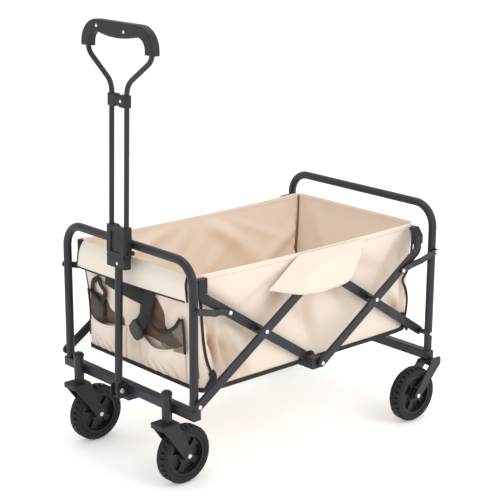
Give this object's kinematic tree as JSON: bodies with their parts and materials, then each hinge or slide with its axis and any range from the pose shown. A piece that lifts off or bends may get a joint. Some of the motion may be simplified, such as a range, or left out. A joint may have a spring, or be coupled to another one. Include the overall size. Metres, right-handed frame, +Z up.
{
  "type": "beach cart",
  "caption": "Folding beach cart: fabric bag in a tube frame with scissor side bars, swivel front wheels, fixed rear wheels and a telescoping D-grip pull handle.",
  "frame": {"origin": "on the ground, at the bottom centre of the open cart's box", "axes": "+Z up, +X towards the rear, the pull handle at -X"},
  "size_m": [0.909, 0.6306, 1.1339],
  "materials": {
    "frame_paint": "satin charcoal powder coat",
    "plastic": "moulded black plastic, fine texture",
    "hub_plastic": "moulded black plastic",
    "tyre": "matt black tread",
    "bright_steel": "bright zinc-plated steel",
    "cream_fabric": "woven cream polyester",
    "dark_fabric": "black webbing",
    "board": "stiff board in cream cloth"
  },
  "bodies": {
    "front_frame": {"front_hoop": "frame_paint", "front_crossbar": "frame_paint", "handle_bracket": "frame_paint", "handle_hinge_bolt": "bright_steel", "front_pivot_bolts": "bright_steel", "socket_caps": "plastic", "caster_socket_left": "frame_paint", "caster_socket_right": "frame_paint"},
    "mast": {"mast_tube": "frame_paint", "clip_block": "plastic"},
    "handle_loop": {"loop_tube": "frame_paint", "slider_collar": "plastic", "neck_clamp": "plastic", "grip_front_shell": "plastic", "grip_rear_shell": "plastic", "handle_fasteners": "bright_steel"},
    "caster_left": {"caster_fork_left": "plastic", "caster_bolts_left": "bright_steel"},
    "caster_right": {"caster_fork_right": "plastic", "caster_bolts_right": "bright_steel"},
    "front_wheel_left": {"front_hub_left": "hub_plastic", "front_tyre_left": "tyre"},
    "front_wheel_right": {"front_hub_right": "hub_plastic", "front_tyre_right": "tyre"},
    "front_foot_bars": {"front_foot_bar_left": "frame_paint", "front_foot_bar_right": "frame_paint", "front_cross_rivets": "bright_steel"},
    "front_rising_bars": {"front_rising_bar_left": "frame_paint", "front_rising_bar_right": "frame_paint", "mid_cross_tube": "frame_paint", "mid_bottom_bolts": "bright_steel", "front_corner_caps": "plastic"},
    "front_links": {"front_link_left": "frame_paint", "front_link_right": "frame_paint"},
    "bag": {"mid_top_pins": "bright_steel", "bag_shell": "cream_fabric", "floor_boards": "board", "front_band": "cream_fabric", "side_flaps": "cream_fabric", "corner_straps": "dark_fabric", "drink_pocket_left": "cream_fabric", "drink_pocket_right": "cream_fabric"},
    "rear_foot_bars": {"rear_foot_bar_left": "frame_paint", "rear_foot_bar_right": "frame_paint"},
    "rear_rising_bars": {"rear_rising_bar_left": "frame_paint", "rear_rising_bar_right": "frame_paint", "rear_cross_rivets": "bright_steel", "rear_corner_caps": "plastic"},
    "rear_frame": {"rear_hoop": "frame_paint", "rear_crossbar": "frame_paint", "rear_pivot_bolts": "bright_steel", "rear_axles": "bright_steel", "rear_fork_left": "frame_paint", "rear_fork_right": "frame_paint"},
    "rear_links": {"rear_link_left": "frame_paint", "rear_link_right": "frame_paint"},
    "rear_wheel_left": {"rear_hub_left": "hub_plastic", "rear_tyre_left": "tyre"},
    "rear_wheel_right": {"rear_hub_right": "hub_plastic", "rear_tyre_right": "tyre"}
  },
  "joints": [
    {"name": "fold", "type": "hinge", "parent": "front_frame", "child": "front_foot_bars", "pos_m": [-0.395, 0, 0.2338], "axis": [0, -1, 0], "range_deg": [0, 38], "deforming": ["bag_shell", "floor_boards", "front_band", "side_flaps", "corner_straps", "drink_pocket_left", "drink_pocket_right"]},
    {"name": "front_cross_pivot", "type": "hinge", "parent": "front_foot_bars", "child": "front_rising_bars", "pos_m": [-0.1775, 0, 0.377], "axis": [0, -1, 0], "range_deg": [-76, 0]},
    {"name": "mid_top_pivot", "type": "hinge", "parent": "front_foot_bars", "child": "bag", "pos_m": [0.0215, 0, 0.50802], "axis": [0, -1, 0], "range_deg": [-38, 0]},
    {"name": "rear_mid_pivot", "type": "hinge", "parent": "bag", "child": "rear_foot_bars", "pos_m": [0.0215, 0, 0.50802], "axis": [0, -1, 0], "range_deg": [-38, 0]},
    {"name": "rear_cross_pivot", "type": "hinge", "parent": "rear_foot_bars", "child": "rear_rising_bars", "pos_m": [0.2205, 0, 0.377], "axis": [0, -1, 0], "range_deg": [0, 76]},
    {"name": "rear_foot_pivot", "type": "hinge", "parent": "rear_foot_bars", "child": "rear_frame", "pos_m": [0.438, 0, 0.2338], "axis": [0, -1, 0], "range_deg": [0, 38]},
    {"name": "front_link_pivot", "type": "hinge", "parent": "front_frame", "child": "front_links", "pos_m": [-0.395, 0, 0.4728], "axis": [0, -1, 0], "range_deg": [0, 82.76]},
    {"name": "rear_link_pivot", "type": "hinge", "parent": "rear_frame", "child": "rear_links", "pos_m": [0.438, 0, 0.4728], "axis": [0, -1, 0], "range_deg": [-82.76, 0]},
    {"name": "handle_tilt", "type": "hinge", "parent": "front_frame", "child": "mast", "pos_m": [-0.4295, 0, 0.208], "axis": [0, -1, 0], "range_deg": [0, 95]},
    {"name": "handle_telescope", "type": "slide", "parent": "mast", "child": "handle_loop", "axis": [-0.027, 0, -0.9996], "range_m": [0, 0.28]},
    {"name": "caster_swivel_left", "type": "hinge", "parent": "front_frame", "child": "caster_left", "pos_m": [-0.4205, 0.184, 0.2], "axis": [0, 0, 1], "continuous": true},
    {"name": "front_wheel_spin_left", "type": "hinge", "parent": "caster_left", "child": "front_wheel_left", "pos_m": [-0.3705, 0.184, 0.076], "axis": [0, 1, 0], "continuous": true},
    {"name": "rear_wheel_spin_left", "type": "hinge", "parent": "rear_frame", "child": "rear_wheel_left", "pos_m": [0.3655, 0.287, 0.076], "axis": [0, 1, 0], "continuous": true},
    {"name": "caster_swivel_right", "type": "hinge", "parent": "front_frame", "child": "caster_right", "pos_m": [-0.4205, -0.184, 0.2], "axis": [0, 0, 1], "continuous": true},
    {"name": "front_wheel_spin_right", "type": "hinge", "parent": "caster_right", "child": "front_wheel_right", "pos_m": [-0.3705, -0.184, 0.076], "axis": [0, 1, 0], "continuous": true},
    {"name": "rear_wheel_spin_right", "type": "hinge", "parent": "rear_frame", "child": "rear_wheel_right", "pos_m": [0.3655, -0.287, 0.076], "axis": [0, 1, 0], "continuous": true}
  ],
  "couplings": [
    {"joint": "front_cross_pivot", "follows": "fold", "ratio": -2},
    {"joint": "mid_top_pivot", "follows": "fold", "ratio": -1},
    {"joint": "rear_mid_pivot", "follows": "fold", "ratio": -1},
    {"joint": "rear_cross_pivot", "follows": "fold", "ratio": 2},
    {"joint": "rear_foot_pivot", "follows": "fold", "ratio": 1},
    {"joint": "front_link_pivot", "follows": "fold", "ratio": 2.178},
    {"joint": "rear_link_pivot", "follows": "fold", "ratio": -2.178}
  ]
}
